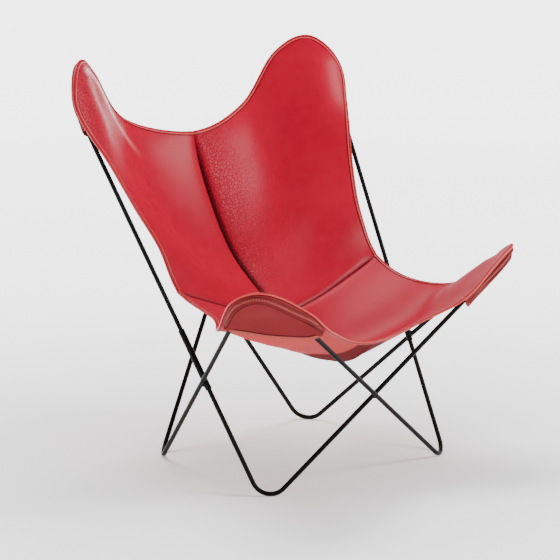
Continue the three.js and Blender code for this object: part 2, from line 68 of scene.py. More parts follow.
LEATHER = 3.6
POCKET_LEATHER = 2.6
LEATHER_GAP = 0.9
POCKET_SLACK = 1.4
POCKET_BELLY = 4.0
POCKET_BELLY_WIDTH = 26.0
POCKET_MOUTH_SAG = 27.0
POCKET_SEAM_IN = 1.5
POCKET_SEAM_GAP = 0.4
POCKET_CURVE_REACH = 0.45
POCKET_RISE_SHARE = 0.8
POCKET_LEAST_ROOM = 10.0
POCKET_ROOM_SMOOTHING = 120
POCKET_RINGS = 48
POCKET_RING_CROWDING = 1.7
BACK_POCKET_REACH = (290.0, 262.0)
FRONT_POCKET_REACH = (213.0, 162.0)
BAR_NEARER_RIM = {"left": 7.0, "right": -3.0}
POCKET_EVENNESS = {"left": 14, "right": 3}
WELT_GAP = {"left": 4.2, "right": 7.0}
WELT_TAPER = 9
MOUTH_TAPER = 6

# Right-hand half of the sling's edge and seams, as in the solids
TOP_MIDDLE = (0, 247, 684)
TOP_EDGE = (168, 276, 728)
BACK_WING_INNER = [(-22.5, 172, 8)]
BACK_WING_TIP = (8, 25)
BACK_WING_OUTER = [(29.5, 186, 0), (19, 287, 0)]
SIDE_EDGE = [(323, 66, 588), (295, 9, 496), (290, -52, 406), (290, -165, 369)]
FRONT_WING_OUTER = [(11.5, 217, 14), (18.5, 95, 0)]
FRONT_WING_TIP = (-11, 29)
FRONT_WING_INNER = [(-30, 147, 0), (-35, 214, 0)]
FRONT_EDGE = (81, -365, 322)
FRONT_MIDDLE = (0, -356, 307)
SEAM_MEETING = (0, -60, 313)
CENTRE_SEAM_BACK = [(0, 30, 367), (0, 115, 437), (0, 190, 555)]
CENTRE_SEAM_SEAT = [(0, -130, 264), (0, -205, 243), (0, -280, 256)]
CROSS_SEAM = [(100, -58, 336), (195, -56, 370)]
BACK_TIP_PLACE = 3
CROSS_SEAM_PLACE = 8
FRONT_TIP_PLACE = 12

# Leather over the frame and at its seams
WING_INNER_SLOPE = {"left": -0.03, "right": 0.12}
WING_INNER_FALL = {"left": 0.13, "right": 0.14}
WING_ARCH_START = {"left": -0.5, "right": -1.0}
BACK_TIP_ROLL = {"left": 1.0, "right": 0.0}
BACK_OUTER_SLOPE = {"left": 0.42, "right": 0.42}
FRONT_OUTER_SLOPE = {"left": 0.12, "right": 0.42}
WING_ROLL = 0.014
WING_FADE = (-40.0, 110.0)
TIP_ROLL_REACH = (-10.0, 45.0)
BAR_SOFTNESS = 8.0
BAR_ROUNDING = 6.0
WING_CREASE = (0.06, 0.16)
# Width of the polish and painted highlight along the bar under the back wings
POLISH_HIGHLIGHT_WIDTH = 7.0
WING_GRAIN = 0.08
GRAIN_REACH = 80.0
CENTRE_GRAIN = {"left": 0.0, "right": 1.0}
SEAT_GRAIN = 0.3
OUTER_GRAIN = {"left": 1.0, "right": 0.0}
OUTER_GRAIN_REACH = 30.0
CENTRE_VALLEY = 14.0
SEAT_VALLEY_SHARE = 0.25
CROSS_VALLEY = 8.0
CENTRE_VALLEY_WIDTH = 8.0
CROSS_VALLEY_WIDTH = 6.5
VALLEY_LEAST = 0.3
# Widths of the painted shade along the centre and cross seam valleys
CENTRE_SEAM_SHADE = 8.5
CROSS_SEAM_SHADE = 4.0
SEAT_TAUTNESS = {"left": 12.0, "right": 0.0}
SEAT_TAUT_FROM = (15.0, 100.0)
SEAT_TAUT_TO = (140.0, 270.0)
SEAT_TAUT_FADE = 0.4
# Band of painted shade on the seat's underside, beside the centre seam
SEAM_BAND = 45.0
SEAM_BAND_FLARE = 42.0
SEAM_BAND_FLARE_REACH = (0.05, 0.45)
SEAM_BAND_BLUR = 4.0
UNDERSIDE_SHADE_DARKNESS = 0.9
SEAM_GAP = 0.04
CALM_EDGE = 0.12
STEPS_U = 84
STEPS_V = 104
GRID_CROWDING = 1.5

STITCH_PITCH = 5.6
STITCH_LENGTH = 4.0
STITCH_THICK = 0.9
RIM_STEP = 4.0
# Rows of stitches: places left free at each end, way into the panel and height over its face
HEM_STITCHES = (2, 5.3, 3.3)
WELT_STITCHES = (5, 0.0, 2.4)
MOUTH_STITCHES = (4, 7.8, 2.4)

# Camera
CAMERA_PLACE = (-3762, -4332, 1647)
CAMERA_AZIMUTH = math.radians(-41.263)
CAMERA_ELEVATION = math.radians(12.451)
SENSOR_WIDTH = 36
FOCAL_PIXELS = 2650
PICTURE_PIXELS = 560
CAMERA_SHIFT = (0.0026, 0.0005)

ROD_RADIUS = ROD / 2
SIDES = ("left", "right")


# Geometry of the frame

def unit(v):
    return v / np.linalg.norm(v)


def mirrored(p):
    return p * np.array((-1.0, 1.0, 1.0))


class Bend:
    """A bend of the bar at the corner between two straight runs."""

    def __init__(self, corner, first, second, radius):
        to_first = unit(first - corner)
        to_second = unit(second - corner)
        self.corner = corner
        self.radius = radius
        self.inward = unit(to_first + to_second)
        self.across = unit(to_first - to_second)
        self.half = math.acos(float(to_first @ self.inward))
        self.centre_down = radius / math.sin(self.half)
        self.centre = corner + self.inward * self.centre_down
        self.top = self.centre_down - radius

    def arc(self, steps):
        sweep = math.pi / 2 - self.half
        angles = sweep * (1 - 2 * np.arange(steps + 1) / steps)
        inward, across = self.inward * self.radius, self.across * self.radius
        return [self.centre - inward * math.cos(a) + across * math.sin(a) for a in angles]

    def ahead(self):
        normal = unit(np.cross(self.across, self.inward))
        return -normal if normal[0] * self.corner[0] > 0 else normal


def foot_corner(x, y, first, second):
    """Corner of a foot whose flat lies on the floor."""
    corner = np.array((x, y, 0.0))
    for _ in range(6):
        bend = Bend(corner, first, second, FOOT_BEND)
        lowest = bend.centre[2] - FOOT_BEND * math.hypot(bend.inward[2], bend.across[2])
        corner = corner + np.array((0, 0, ROD_RADIUS - FOOT_FLAT_DEPTH - lowest))
    return corner


front_foot = foot_corner(*FRONT_FOOT, BACK_TIP, mirrored(FRONT_TIP))
front_run = mirrored(FRONT_TIP) - front_foot
LOOP_SHIFT = (ROD + CLEARANCE) / 2 * math.hypot(front_run[1], front_run[2]) / front_run[2]
side_run = unit(BACK_TIP - front_foot)
side_normal = unit(np.cross(FRONT_TIP - front_foot, side_run))
side_gap = (ROD + SLEEVE_DIAMETER) / 2 + CLEARANCE + 2 * LOOP_SHIFT * abs(side_normal[1])
side_offset = side_normal * math.copysign(side_gap, side_normal[0])
crossing_outside = front_foot + side_run * SIDE_CROSSING + side_offset
foot_height = front_foot[2]
for _ in range(4):
    share = (foot_height - FRONT_TIP[2]) / (crossing_outside[2] - FRONT_TIP[2])
    back_foot = FRONT_TIP + (crossing_outside - FRONT_TIP) * share
    foot_height = foot_corner(back_foot[0], back_foot[1], mirrored(BACK_TIP), FRONT_TIP)[2]


def make_loop(side):
    is_left = side == "left"
    shift = np.array((0, LOOP_SHIFT if is_left else -LOOP_SHIFT, 0))

    def place(p, on_left):
        return (mirrored(p) if on_left == is_left else p) + shift

    hoop, near = place(BACK_TIP, True), place(front_foot, True)
    tip, far = place(FRONT_TIP, False), place(back_foot, False)
    return {
        "hoop": Bend(hoop, near, far, BACK_TIP_BEND),
        "near": Bend(near, hoop, tip, FOOT_BEND),
        "tip": Bend(tip, near, far, FRONT_TIP_BEND),
        "far": Bend(far, tip, hoop, FOOT_BEND),
    }


loops = {side: make_loop(side) for side in SIDES}


def lean(top, down):
    above = np.maximum(0, top + HOOP_LEAN_LENGTH - down)
    return HOOP_LEAN * (above / HOOP_LEAN_LENGTH) ** 2


def crossing(a_from, a_to, b_from, b_to):
    """Nearest points of two straight runs and the ways they point."""
    u, v, w = a_to - a_from, b_to - b_from, a_from - b_from
    scale = (u @ u) * (v @ v) - (u @ v) ** 2
    on_a = a_from + u * ((u @ v) * (v @ w) - (v @ v) * (u @ w)) / scale
    on_b = b_from + v * ((u @ u) * (v @ w) - (u @ v) * (u @ w)) / scale
    return on_a, on_b, unit(u), unit(v)


left, right = loops["left"], loops["right"]
crossings = {
    "front": crossing(left["near"].corner, left["tip"].corner, right["near"].corner, right["tip"].corner),
    "back": crossing(left["far"].corner, left["hoop"].corner, right["far"].corner, right["hoop"].corner),
    "left": crossing(left["near"].corner, left["hoop"].corner, right["far"].corner, right["tip"].corner),
    "right": crossing(right["near"].corner, right["hoop"].corner, left["far"].corner, left["tip"].corner),
}
sleeves = {
    "side_sleeve_left": (crossings["left"][0], crossings["left"][2], -SIDE_SLEEVE_BELOW_CROSSING),
    "side_sleeve_right": (crossings["right"][0], crossings["right"][2], -SIDE_SLEEVE_BELOW_CROSSING),
    "back_sleeve_left": (crossings["back"][0], crossings["back"][2], BACK_SLEEVE_ABOVE_CROSSING),
    "back_sleeve_right": (crossings["back"][1], crossings["back"][3], BACK_SLEEVE_ABOVE_CROSSING),
}


def sleeve_middle(name):
    start, along, offset = sleeves[name]
    return start + along * (offset + SLEEVE_LENGTH / 2)


def metres(points):
    """Millimetres of the drawing to metres in the chair's frame."""
    return (np.asarray(points, float) + np.array((0, ORIGIN_SHIFT, 0))) / 1000


# Camera and light

def add_camera():
    camera = bpy.data.objects.new("camera", bpy.data.cameras.new("camera"))
    bpy.context.collection.objects.link(camera)
    level = math.cos(CAMERA_ELEVATION)
    back = Vector((math.sin(CAMERA_AZIMUTH) * level, -math.cos(CAMERA_AZIMUTH) * level,
                   math.sin(CAMERA_ELEVATION)))
    camera.location = metres(CAMERA_PLACE)
    camera.rotation_euler = back.to_track_quat("Z", "Y").to_euler()
    camera.data.sensor_width = SENSOR_WIDTH
    camera.data.lens = SENSOR_WIDTH * FOCAL_PIXELS / PICTURE_PIXELS
    camera.data.shift_x, camera.data.shift_y = CAMERA_SHIFT
    camera.data.clip_end = 60
    bpy.context.scene.camera = camera


def add_light(name, place, target, size, power):
    data = bpy.data.lights.new(name, "AREA")
    data.shape = "RECTANGLE"
    data.size, data.size_y = size
    data.energy = power
    light = bpy.data.objects.new(name, data)
    light.location = place
    light.rotation_euler = (Vector(place) - Vector(target)).to_track_quat("Z", "Y").to_euler()
    bpy.context.collection.objects.link(light)


# Shader expressions

class Socket:
    """An output of a node; sums and products of sockets add Math nodes."""

    def __init__(self, finish, socket):
        self.finish = finish
        self.socket = socket

    def math(self, operation, first, second):
        return self.finish.node("ShaderNodeMath", {"operation": operation}, {0: first, 1: second})

    def __add__(self, other):
        return self.math("ADD", self, other)

    def __radd__(self, other):
        return self.math("ADD", other, self)

    def __sub__(self, other):
        return self.math("SUBTRACT", self, other)

    def __rsub__(self, other):
        return self.math("SUBTRACT", other, self)

    def __mul__(self, other):
        return self.math("MULTIPLY", self, other)

    def __rmul__(self, other):
        return self.math("MULTIPLY", other, self)


class Finish:
    """A material that is built up node by node."""

    def __init__(self, name):
        self.material = bpy.data.materials.new(name)
        self.material.use_nodes = True
        self.tree = self.material.node_tree
        self.tree.nodes.clear()

    def node(self, kind, settings=None, inputs=None, out=0):
        made = self.tree.nodes.new(kind)
        for key, value in (settings or {}).items():
            if key == "stops":
                ramp = made.color_ramp.elements
                while len(ramp) < len(value):
                    ramp.new(1.0)
                for element, (position, colour) in zip(ramp, value):
                    element.position = position
                    element.color = colour
            else:
                setattr(made, key, value)
        for key, value in (inputs or {}).items():
            if isinstance(value, Socket):
                self.tree.links.new(value.socket, made.inputs[key])
            else:
                made.inputs[key].default_value = value
        return Socket(self, made.outputs[out]) if len(made.outputs) else None

    def mix(self, factor, first, second):
        return self.node("ShaderNodeMix", {"data_type": "RGBA"}, {0: factor, 6: first, 7: second}, out=2)

    def ramp(self, value, stops):
        grey = [(p, (v, v, v, 1)) for p, v in stops]
        return self.node("ShaderNodeValToRGB", {"stops": grey}, {0: value})

    def object_place(self):
        return self.node("ShaderNodeTexCoord", out=3)

    def attribute(self, name):
        return self.node("ShaderNodeAttribute", {"attribute_name": name}, out=2)

    def noise(self, place, scale, detail=2.0, rough=0.5):
        return self.node("ShaderNodeTexNoise", None,
                         {"Vector": place, "Scale": scale, "Detail": detail, "Roughness": rough})

    def cells(self, place, scale):
        return self.node("ShaderNodeTexVoronoi", {"feature": "DISTANCE_TO_EDGE"},
                         {"Vector": place, "Scale": scale})

    def bump(self, height, strength, distance):
        return self.node("ShaderNodeBump", None,
                         {"Height": height, "Strength": strength, "Distance": distance})

    def surface(self, **inputs):
        named = {key.replace("_", " "): value for key, value in inputs.items()}
        shader = self.node("ShaderNodeBsdfPrincipled", None, named)
        self.node("ShaderNodeOutputMaterial", None, {"Surface": shader})
        return self.material


def rgb(red, green, blue):
    """A colour picked as screen values, in linear light."""
    def linear(c):
        c /= 255
        return c / 12.92 if c <= 0.04045 else ((c + 0.055) / 1.055) ** 2.4
    return (linear(red), linear(green), linear(blue), 1)


def leather_finish(name, grain_colour, deep_colour, flesh_colour, rim_highlight_colour, ridge_highlight_colour, gloss):
    """Pebbled hide on the face and suede on the flesh side, with painted shade in seams, creases and
    grooves, painted highlights on rims and a painted highlight, with a polish of lower roughness, along the
    bar ridges.
    """
    finish = Finish(name)
    place = finish.object_place()
    flesh = finish.attribute("flesh")
    seam = finish.attribute("seam")
    rim = finish.attribute("rim")
    rubbed = finish.attribute("rubbed")
    grain = finish.attribute("grain")
    matt = finish.attribute("matt")
    sway = finish.node("ShaderNodeTexNoise", None, {"Vector": place, "Scale": 160.0}, out=1)
    bent = finish.node("ShaderNodeVectorMath", {"operation": "MULTIPLY_ADD"},
                       {0: sway, 1: (0.005, 0.005, 0.005), 2: place})
    pebble = finish.ramp(finish.cells(bent, 135.0), [(0.0, 0.0), (0.14, 0.8), (0.45, 1.0)])
    fine = finish.noise(place, 900.0, 2.0)
    patches = finish.noise(place, 7.0, 3.0)
    blotch = finish.noise(place, 42.0, 3.0)
    tone = finish.ramp(patches * 0.6 + blotch * 0.4, [(0.36, 0.0), (0.64, 1.0)])
    face = finish.mix(tone, deep_colour, grain_colour)
    dark = tuple(0.12 * c for c in deep_colour[:3]) + (1,)
    creased = finish.mix((1 - pebble) * grain * 0.35, face, dark)
    suede = finish.mix(finish.noise(place, 700.0, 3.0) * 0.5, flesh_colour, deep_colour)
    sides = finish.mix(flesh, creased, suede)
    # Painted highlight along the bar ridges, where the leather also gets a lower roughness as polish
    with_ridge_highlight = finish.mix(rubbed * 0.8, sides, ridge_highlight_colour)
    # Painted highlight on the rims of hems, welts and pocket edges
    with_rim_highlight = finish.mix(rim * (0.7 + fine * 0.3), with_ridge_highlight, rim_highlight_colour)
    # Painted shade: darkens the seam valleys, hem creases, pocket grooves and the seat's underside
    colour = finish.mix(seam * 0.92, with_rim_highlight, dark)
    hollows = (1 - pebble) * grain * 0.12 + grain * 0.05
    rough = gloss + hollows + blotch * 0.05 + flesh * 0.3 + seam * 0.2 + matt * 0.14 - rubbed * 0.15
    height = pebble * (0.06 + grain * 0.94) + fine * 0.07 + blotch * 0.12
    bumped = finish.bump(height, 0.8, 0.0008)
    return finish.surface(Base_Color=colour, Roughness=rough, Normal=bumped, Specular_IOR_Level=0.125)


def steel_finish():
    """Satin black powder coat with its fine orange peel."""
    finish = Finish("black_powder_coat")
    place = finish.object_place()
    peel = finish.noise(place, 700.0, 3.0, 0.6)
    broad = finish.noise(place, 24.0, 2.0)
    colour = finish.mix(finish.ramp(broad * 0.7 + peel * 0.3, [(0.35, 0.0), (0.7, 1.0)]),
                        (0.004, 0.004, 0.004, 1), (0.009, 0.009, 0.009, 1))
    rough = 0.24 + peel * 0.12 + broad * 0.08
    return finish.surface(Base_Color=colour, Roughness=rough, Normal=finish.bump(peel, 0.18, 0.0003),
                          Specular_IOR_Level=0.08)


def thread_finish():
    """Twisted sewing thread."""
    finish = Finish("sewing_thread")
    place = finish.object_place()
    twist = finish.noise(place, 1800.0, 2.0)
    colour = finish.mix(twist, rgb(176, 52, 50), rgb(226, 130, 116))
    return finish.surface(Base_Color=colour, Roughness=0.6 + twist * 0.15,
                          Normal=finish.bump(twist, 0.4, 0.0003))


def floor_finish():
    """Pale studio floor with a painted glow, weak by the chair and growing into a white backdrop away from
    it; the glow also lights the chair.
    """
    finish = Finish("white_floor")
    place = finish.object_place()
    cloud = finish.noise(place, 1.5, 2.0)
    colour = finish.mix(cloud, (0.88, 0.88, 0.88, 1), (0.90, 0.90, 0.90, 1))
    away = finish.node("ShaderNodeVectorMath", {"operation": "LENGTH"}, {0: place}, out=1)
    # Painted glow of the floor, weaker near the chair
    glow = finish.ramp(away * 0.1, [(0.03, 0.11), (0.16, 0.5), (0.5, 1.0)])
    return finish.surface(Base_Color=colour, Roughness=0.85, Specular_IOR_Level=0.1,
                          Emission_Color=glow, Emission_Strength=4.0)


add_camera()
red_leather = leather_finish("red_leather", (0.46, 0.003, 0.027, 1), (0.41, 0.002, 0.021, 1),
                             (0.50, 0.050, 0.045, 1), (0.60, 0.090, 0.070, 1), (0.95, 0.45, 0.40, 1), 0.30)
# Pocket leather: the sling's hide in darker colours, a painted shade for the pockets, which face away from
# the light
pocket_leather = leather_finish("pocket_leather", (0.18, 0.011, 0.014, 1), (0.155, 0.008, 0.010, 1),
                                (0.18, 0.011, 0.014, 1), (0.50, 0.100, 0.075, 1),
                                (0.50, 0.100, 0.075, 1), 0.6)
black_coat = steel_finish()
thread = thread_finish()


# Modelling helpers

def clear_selection():
    bpy.ops.object.select_all(action="DESELECT")


def make_active(piece):
    clear_selection()
    piece.select_set(True)
    bpy.context.view_layer.objects.active = piece


def new_mesh(name, points, faces, material, smooth_angle=math.radians(50)):
    mesh = bpy.data.meshes.new(name)
    mesh.from_pydata([tuple(p) for p in points], [], faces)
    mesh.validate()
    mesh.update()
    piece = bpy.data.objects.new(name, mesh)
    bpy.context.collection.objects.link(piece)
    mesh.materials.append(material)
    make_active(piece)
    bpy.ops.object.shade_smooth_by_angle(angle=smooth_angle)
    return piece


def set_attribute(piece, name, values):
    layer = piece.data.attributes.new(name, "FLOAT", "POINT")
    layer.data.foreach_set("value", np.asarray(values, dtype=np.float32))


def mend(piece, join=False):
    """Turns a mesh's faces outward, with points that coincide joined if asked."""
    make_active(piece)
    bpy.ops.object.mode_set(mode="EDIT")
    bpy.ops.mesh.select_all(action="SELECT")
    if join:
        bpy.ops.mesh.remove_doubles(threshold=1e-6)
    bpy.ops.mesh.normals_make_consistent(inside=False)
    bpy.ops.object.mode_set(mode="OBJECT")


def settle(piece, node):
    """Fixes a piece to the chair in place of a solid, if it stands for one."""
    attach(piece, "root")
    if node:
        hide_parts(node)


# Frame pieces

def bar_piece(name, points, node):
    """A bar of round stock along a path."""
    curve = bpy.data.curves.new(name, "CURVE")
    curve.dimensions = "3D"
    spline = curve.splines.new("POLY")
    spline.points.add(len(points) - 1)
    for point, place in zip(spline.points, metres(points)):
        point.co = (*place, 1)
    curve.bevel_depth = ROD_RADIUS / 1000
    curve.bevel_resolution = 6
    curve.use_fill_caps = True
    piece = bpy.data.objects.new(name, curve)
    bpy.context.collection.objects.link(piece)
    make_active(piece)
    bpy.ops.object.convert(target="MESH")
    piece = bpy.context.view_layer.objects.active
    bpy.ops.object.mode_set(mode="EDIT")
    bpy.ops.mesh.select_all(action="SELECT")
    bpy.ops.mesh.remove_doubles(threshold=1e-6)
    bpy.ops.mesh.bisect(plane_co=(0, 0, 0), plane_no=(0, 0, 1), use_fill=True, clear_inner=True)
    bpy.ops.mesh.select_all(action="SELECT")
    bpy.ops.mesh.normals_make_consistent(inside=False)
    bpy.ops.object.mode_set(mode="OBJECT")
    bpy.ops.object.shade_smooth_by_angle(angle=math.radians(40))
    piece.data.materials.clear()
    piece.data.materials.append(black_coat)
    settle(piece, node)


def runs(points, step=12.0):
    """The same path with points close together along its straight runs."""
    path = [points[0]]
    for a, b in zip(points, points[1:]):
        count = max(1, int(np.linalg.norm(b - a) // step))
        path += [a + (b - a) * k / count for k in range(1, count + 1)]
    return path


for side in SIDES:
    loop = loops[side]
    ends = [sleeve_middle(f"{place}_sleeve_{side}") for place in ("side", "back")]
    gaps = [sleeves[f"{place}_sleeve_{side}"][1] * PLUG_GAP for place in ("side", "back")]
    bends = [p for place in ("near", "tip", "far") for p in loop[place].arc(FOOT_BEND_STEPS)]
    base_path = [ends[0] - gaps[0], *bends, ends[1] - gaps[1]]
    bar_piece(f"frame_base_bar_{side}", base_path, f"base_bar_{side}")
    hoop = loop["hoop"]
    hoop_path = runs([ends[0] + gaps[0], *hoop.arc(TIP_BEND_STEPS), ends[1] + gaps[1]])
    ahead = hoop.ahead()
    hoop_path = [p + ahead * lean(hoop.top, float((p - hoop.corner) @ hoop.inward)) for p in hoop_path]
    bar_piece(f"frame_back_hoop_{side}", hoop_path, f"back_hoop_{side}")


def sleeve_piece(name):
    """A tube with rounded ends that the bars plug into."""
    clear_selection()
    bpy.ops.mesh.primitive_cylinder_add(vertices=40, radius=SLEEVE_DIAMETER / 2000,
                                        depth=SLEEVE_LENGTH / 1000)
    piece = bpy.context.object
    bpy.ops.object.mode_set(mode="EDIT")
    bpy.ops.mesh.select_mode(type="FACE")
    bpy.ops.mesh.select_all(action="DESELECT")
    bpy.ops.object.mode_set(mode="OBJECT")
    for face in piece.data.polygons:
        face.select = abs(face.normal.z) > 0.9
    bpy.ops.object.mode_set(mode="EDIT")
    wall = SLEEVE_DIAMETER / 2 - ROD_RADIUS - SLEEVE_LIP
    bpy.ops.mesh.inset(thickness=wall / 1000, use_individual=True)
    for sign in (1, -1):
        bpy.ops.mesh.select_all(action="DESELECT")
        bpy.ops.object.mode_set(mode="OBJECT")
        for face in piece.data.polygons:
            face.select = face.normal.z * sign > 0.9 and len(face.vertices) > 4
        bpy.ops.object.mode_set(mode="EDIT")
        inward = (0, 0, -sign * SLEEVE_HOLLOW / 1000)
        bpy.ops.mesh.extrude_region_move(TRANSFORM_OT_translate={"value": inward})
    bpy.ops.object.mode_set(mode="OBJECT")
    bevel = piece.modifiers.new("rounded_ends", "BEVEL")
    bevel.width = SLEEVE_ROUNDING / 1000
    bevel.segments = 3
    bevel.limit_method = "ANGLE"
    bevel.angle_limit = math.radians(50)
    bpy.ops.object.modifier_apply(modifier=bevel.name)
    along = Vector(sleeves[name][1])
    piece.matrix_world = (Matrix.Translation(metres(sleeve_middle(name)))
                          @ along.to_track_quat("Z", "Y").to_matrix().to_4x4())
    bpy.ops.object.transform_apply(location=True, rotation=True, scale=True)
    bpy.ops.object.shade_smooth_by_angle(angle=math.radians(35))
    piece.name = f"frame_{name}"
    piece.data.materials.append(black_coat)
    settle(piece, name)


for sleeve_name in sleeves:
    sleeve_piece(sleeve_name)


def weld_piece(name, at, reach):
    """A weld bead that fills the corners where two bars cross."""
    on_a, on_b, along_a, along_b = at
    clear_selection()
    bpy.ops.mesh.primitive_uv_sphere_add(segments=48, ring_count=24, radius=1.0)
    piece = bpy.context.object
    bpy.ops.object.mode_set(mode="EDIT")
    bpy.ops.mesh.select_all(action="SELECT")
    bpy.ops.transform.resize(value=(reach / 1000, reach / 1000, WELD_HALF_DEPTH / 1000))
    bpy.ops.object.mode_set(mode="OBJECT")
    ripples = bpy.data.textures.new(f"{name}_ripples", "CLOUDS")
    ripples.noise_scale = 0.003
    lumps = piece.modifiers.new("lumps", "DISPLACE")
    lumps.texture = ripples
    lumps.mid_level = 0.6
    lumps.strength = 0.001
    bpy.ops.object.modifier_apply(modifier=lumps.name)
    axis = unit(on_b - on_a)
    first = unit(along_a + along_b)
    second = unit(np.cross(axis, first))
    turn = Matrix(np.stack([first, second, axis], axis=1).tolist())
    piece.matrix_world = Matrix.Translation(metres((on_a + on_b) / 2)) @ turn.to_4x4()
    bpy.ops.object.transform_apply(location=True, rotation=True, scale=True)
    bpy.ops.object.shade_smooth()
    piece.name = f"frame_{name}"
    piece.data.materials.append(black_coat)
    settle(piece, name)


for place, weld_reach in WELD_REACH.items():
    weld_piece(f"weld_{place}", crossings[place], weld_reach)


# Surface of the sling, for the right-hand half

back_tip = Bend(BACK_TIP, front_foot, mirrored(back_foot), BACK_TIP_BEND)
front_tip = Bend(FRONT_TIP, back_foot, mirrored(front_foot), FRONT_TIP_BEND)


class Wing:
    """The flat of a tip: distances across it, down from its corner and forward of the bar."""

    def __init__(self, tip, leans, reach):
        self.tip = tip
        self.leans = leans
        self.reach, self.outer_reach = reach
        self.ahead = tip.ahead()
        self.shift = LOOP_SHIFT * abs(self.ahead[1])
        self.leather = ROD_RADIUS + self.shift + LEATHER_GAP + LEATHER / 2

    def lean(self, down):
        return lean(self.tip.top, down) if self.leans else 0.0 * np.asarray(down, float)

    def point(self, across, down, ahead):
        across, down, ahead = (np.asarray(x, float)[..., None] for x in (across, down, ahead))
        return (self.tip.corner + self.tip.across * across + self.tip.inward * down
                + self.ahead * (self.lean(down) + ahead))

    def place(self, points):
        offset = points - self.tip.corner
        down = offset @ self.tip.inward
        return offset @ self.tip.across, down, offset @ self.ahead - self.lean(down)

    def beside_leg(self, out, down, ahead):
        leg = math.copysign(down * math.tan(self.tip.half), out)
        return self.point(leg + out, down, self.leather + ahead)

    def above_bend(self, across, up):
        return self.point(across, self.tip.top - up, self.leather)

    def off_bar(self, across, down):
        """Distance from the bar's centre line, more than zero outside the hoop."""
        half, radius = self.tip.half, self.tip.radius
        leg = np.abs(across) * math.cos(half) - down * math.sin(half)
        along = np.abs(across) * math.sin(half) + down * math.cos(half)
        tangent = self.tip.centre_down * math.cos(half)
        arc = np.hypot(across, down - self.tip.centre_down) - radius
        return np.where(along > tangent, leg, arc)


back_wing = Wing(back_tip, True, BACK_POCKET_REACH)
front_wing = Wing(front_tip, False, FRONT_POCKET_REACH)


def smooth_curve(points, before, after):
    """Curve through points, with places along it counted in points."""
    every = np.vstack([before, points, after])

    def at(place):
        place = np.asarray(place, float)
        i = np.clip(np.floor(place).astype(int), 0, len(points) - 2)
        t = (place - i)[..., None]
        p0, p1, p2, p3 = (every[i + k] for k in range(4))
        return ((-t + 2 * t ** 2 - t ** 3) * p0 + (2 - 5 * t ** 2 + 3 * t ** 3) * p1
                + (t + 4 * t ** 2 - 3 * t ** 3) * p2 + (-t ** 2 + t ** 3) * p3) / 2

    return at


def seam_curve(*points):
    points = np.array(points, float)
    curve = smooth_curve(points, 2 * points[0] - points[1], 2 * points[-1] - points[-2])
    return lambda t: curve(np.asarray(t, float) * (len(points) - 1))


edge_points = np.array([
    TOP_MIDDLE, TOP_EDGE,
    *(back_wing.beside_leg(*p) for p in BACK_WING_INNER),
    back_wing.above_bend(*BACK_WING_TIP),
    *(back_wing.beside_leg(*p) for p in BACK_WING_OUTER),
    *SIDE_EDGE,
    *(front_wing.beside_leg(*p) for p in FRONT_WING_OUTER),
    front_wing.above_bend(*FRONT_WING_TIP),
    *(front_wing.beside_leg(*p) for p in FRONT_WING_INNER),
    FRONT_EDGE, FRONT_MIDDLE], float)
edge = smooth_curve(edge_points, mirrored(edge_points[1]), mirrored(edge_points[-2]))
LAST_PLACE = len(edge_points) - 1
cross_seam = seam_curve(SEAM_MEETING, *CROSS_SEAM, SIDE_EDGE[2])
centre_back = seam_curve(SEAM_MEETING, *CENTRE_SEAM_BACK, TOP_MIDDLE)
centre_seat = seam_curve(SEAM_MEETING, *CENTRE_SEAM_SEAT, FRONT_MIDDLE)


def ease_forward(wing, points):
    """Leather that would touch a bar lies just ahead of it."""
    over = wing.place(points)[2] - wing.leather
    eased = np.where(over > -BAR_SOFTNESS, (over + BAR_SOFTNESS) ** 2 / (4 * BAR_SOFTNESS), 0.0)
    lift = np.where(over < BAR_SOFTNESS, eased - over, 0.0)
    return points + wing.ahead * lift[..., None]


def patch(wing, centre, outer, side_edge):
    """Four-sided patch: u from the centre seam out, v from the cross seam to the outer edge."""
    low, low_side, high, corner = cross_seam(0), cross_seam(1), centre(1), outer(1)

    def at(u, v):
        a, b = u[..., None], v[..., None]
        points = (cross_seam(u) * (1 - b) + outer(u) * b + centre(v) * (1 - a) + side_edge(v) * a
                  - low * (1 - a) * (1 - b) - low_side * a * (1 - b) - high * (1 - a) * b - corner * a * b)
        return ease_forward(wing, points)

    return at


def edge_run(start, end):
    """Part of the sling's edge between two of its places."""
    return lambda t: edge(start + (end - start) * t)


panels = {
    "back": (back_wing, patch(back_wing, centre_back, edge_run(0, BACK_TIP_PLACE),
                              edge_run(CROSS_SEAM_PLACE, BACK_TIP_PLACE))),
    "seat": (front_wing, patch(front_wing, centre_seat, edge_run(LAST_PLACE, FRONT_TIP_PLACE),
                               edge_run(CROSS_SEAM_PLACE, FRONT_TIP_PLACE))),
}


def smooth_step(low, high, x):
    t = np.clip((x - low) / (high - low), 0, 1)
    return t * t * (3 - 2 * t)


def grid_normals(points):
    """Unit normals of a grid of points."""
    normals = np.cross(np.gradient(points, axis=1), np.gradient(points, axis=0))
    length = np.linalg.norm(normals, axis=-1, keepdims=True)
    return normals / np.maximum(length, 1e-9)


def panel_normals(name, points):
    """Normals of a panel's grid, towards the sitter."""
    normals = grid_normals(points)
    return -normals if name == "seat" else normals


